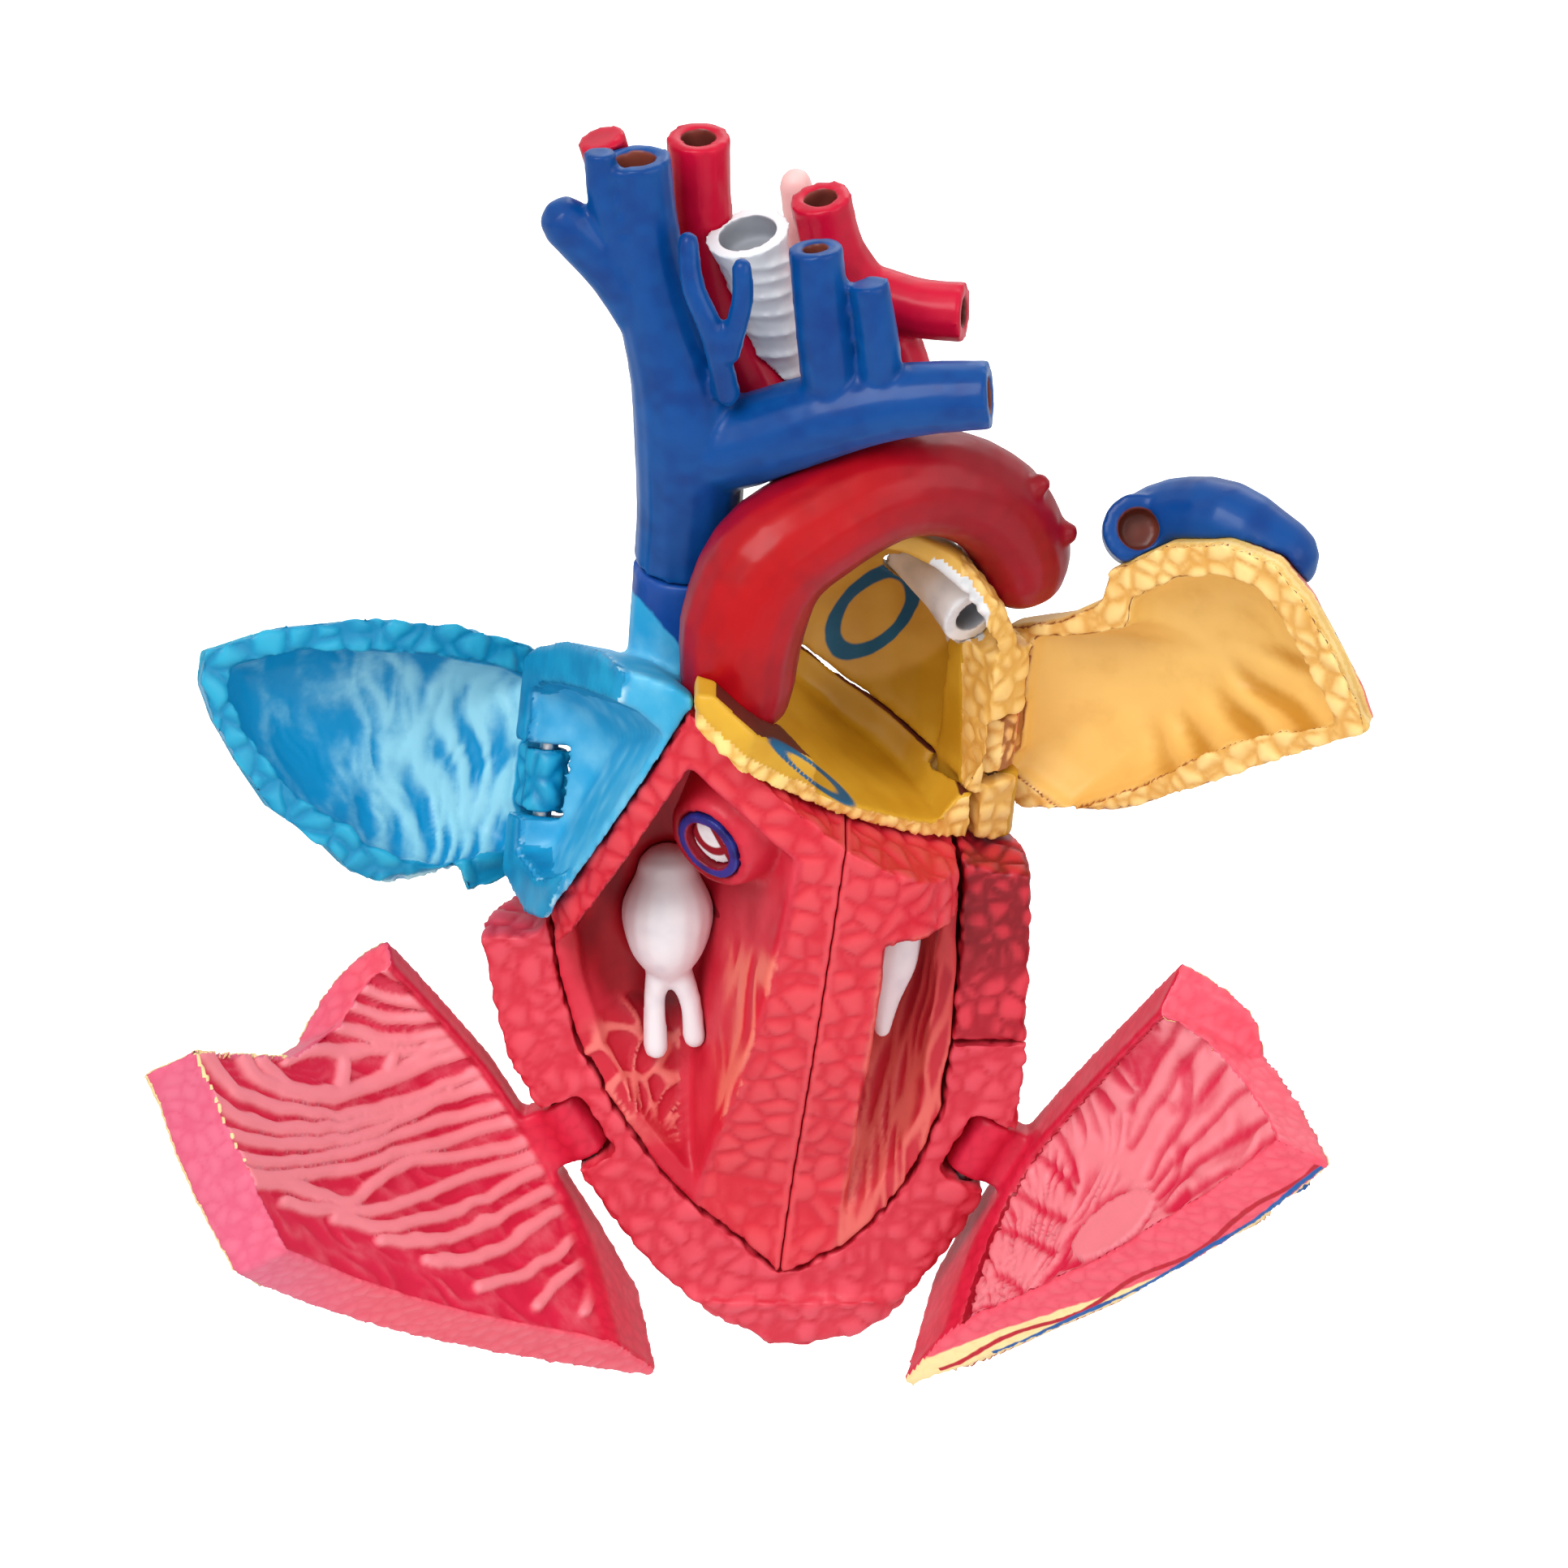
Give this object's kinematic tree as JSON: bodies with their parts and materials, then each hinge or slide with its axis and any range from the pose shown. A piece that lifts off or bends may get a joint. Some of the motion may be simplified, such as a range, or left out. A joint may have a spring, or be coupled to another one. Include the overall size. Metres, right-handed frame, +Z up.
{
  "type": "human heart anatomy model",
  "caption": "Take-apart human heart teaching model with hinged ventricle and atrium doors, chambers, valves, great vessels, windpipe and gullet.",
  "frame": {"origin": "centre of the mouth of the stand socket under the apex", "axes": "+Z up along the socket and the heart, front with the doors towards -Y, +X to the viewer's right"},
  "size_m": [0.1272, 0.0631, 0.1392],
  "materials": {
    "shell_red": "satin soft PVC with a painted cobbled muscle relief",
    "wall_crimson": "satin painted crimson",
    "muscle_red": "satin painted muscle relief, pink on the ridges",
    "door_pink": "satin pink with painted muscle ridges",
    "valve_white": "semi-matt white",
    "ring_navy": "painted navy",
    "atrium_blue": "satin light blue, dry-brushed white",
    "atrium_teal": "satin teal blue, dry-brushed white",
    "atrium_ochre": "satin ochre with cream worn ridges",
    "artery_red": "glossy red",
    "artery_maroon": "satin dark red",
    "vein_blue": "glossy blue",
    "cartilage_white": "semi-matt white",
    "gullet_pink": "satin pink",
    "pin_steel": "plain drawn wire"
  },
  "bodies": {
    "heart": {"rear_shell": "shell_red", "rear_wall_panel": "wall_crimson", "right_ventricle_insert": "muscle_red", "left_ventricle_insert": "muscle_red", "tricuspid_valve": "valve_white", "mitral_valve": "valve_white", "pulmonary_valve_ring": "ring_navy", "pulmonary_valve": "valve_white", "right_atrium_body": "atrium_blue", "left_atrium_floor": "atrium_ochre", "left_atrium_back": "atrium_ochre", "aorta_arch": "artery_red", "descending_aorta": "artery_maroon", "neck_arteries": "artery_red", "vena_cava": "vein_blue", "windpipe": "cartilage_white", "left_bronchus": "cartilage_white", "gullet": "gullet_pink", "rv_hinge_pin": "pin_steel", "lv_hinge_pin": "pin_steel", "ra_hinge_pin": "pin_steel", "la_hinge_pin": "pin_steel", "locating_pegs": "muscle_red"},
    "rv_door": {"right_ventricle_door": "door_pink"},
    "lv_door": {"left_ventricle_door": "door_pink"},
    "ra_door": {"right_atrium_door": "atrium_teal"},
    "la_door": {"left_atrium_door": "atrium_ochre", "pulmonary_artery": "vein_blue"}
  },
  "joints": [
    {"name": "right_ventricle_door_hinge", "type": "hinge", "parent": "heart", "child": "rv_door", "pos_m": [-0.0238, -0.0045, 0.0251], "axis": [-0.5, 0, 0.866], "range_deg": [0, 95]},
    {"name": "left_ventricle_door_hinge", "type": "hinge", "parent": "heart", "child": "lv_door", "pos_m": [0.0199, -0.0045, 0.0228], "axis": [-0.4907, 0, -0.8713], "range_deg": [0, 91]},
    {"name": "right_atrium_door_hinge", "type": "hinge", "parent": "heart", "child": "ra_door", "pos_m": [-0.0264, 0.003, 0.062], "axis": [0.1051, 0.3503, 0.9307], "range_deg": [0, 87]},
    {"name": "left_atrium_door_hinge", "type": "hinge", "parent": "heart", "child": "la_door", "pos_m": [0.0208, 0.0004, 0.0683], "axis": [-0.0802, 0.1403, -0.9869], "range_deg": [0, 114]}
  ]
}
